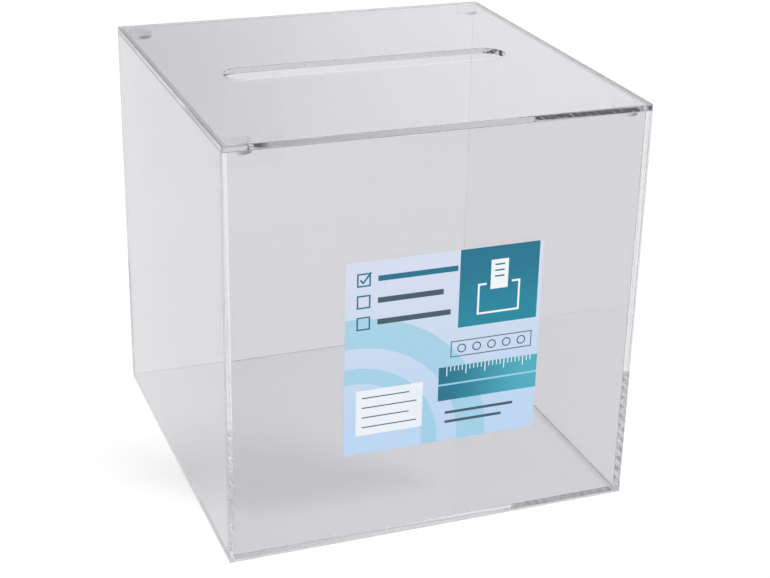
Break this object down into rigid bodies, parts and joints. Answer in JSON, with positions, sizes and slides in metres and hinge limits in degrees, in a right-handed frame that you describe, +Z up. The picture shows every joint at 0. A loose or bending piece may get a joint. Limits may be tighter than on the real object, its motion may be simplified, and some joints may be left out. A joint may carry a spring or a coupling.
{
  "type": "ballot box",
  "caption": "Clear acrylic cube-shaped ballot box with a loose slotted lid, located by discs at its corners, and a square label on the front.",
  "frame": {"origin": "middle of the underside, on the surface the box stands on", "axes": "+X to the right seen from the front, +Y to the back, +Z up, the way the lid lifts off"},
  "size_m": [0.21, 0.2103, 0.21],
  "materials": {
    "clear_acrylic": "clear polished sheet",
    "printed_label": "satin printed film"
  },
  "bodies": {
    "box": {"front_panel": "clear_acrylic", "back_panel": "clear_acrylic", "left_panel": "clear_acrylic", "right_panel": "clear_acrylic", "base_panel": "clear_acrylic", "front_label": "printed_label"},
    "lid": {"lid_plate": "clear_acrylic", "disc_front_left": "clear_acrylic", "disc_front_right": "clear_acrylic", "disc_back_left": "clear_acrylic", "disc_back_right": "clear_acrylic"}
  },
  "joints": [
    {"name": "lid_lift", "type": "slide", "parent": "box", "child": "lid", "axis": [0, 0, 1], "range_m": [0, 0.1]}
  ]
}
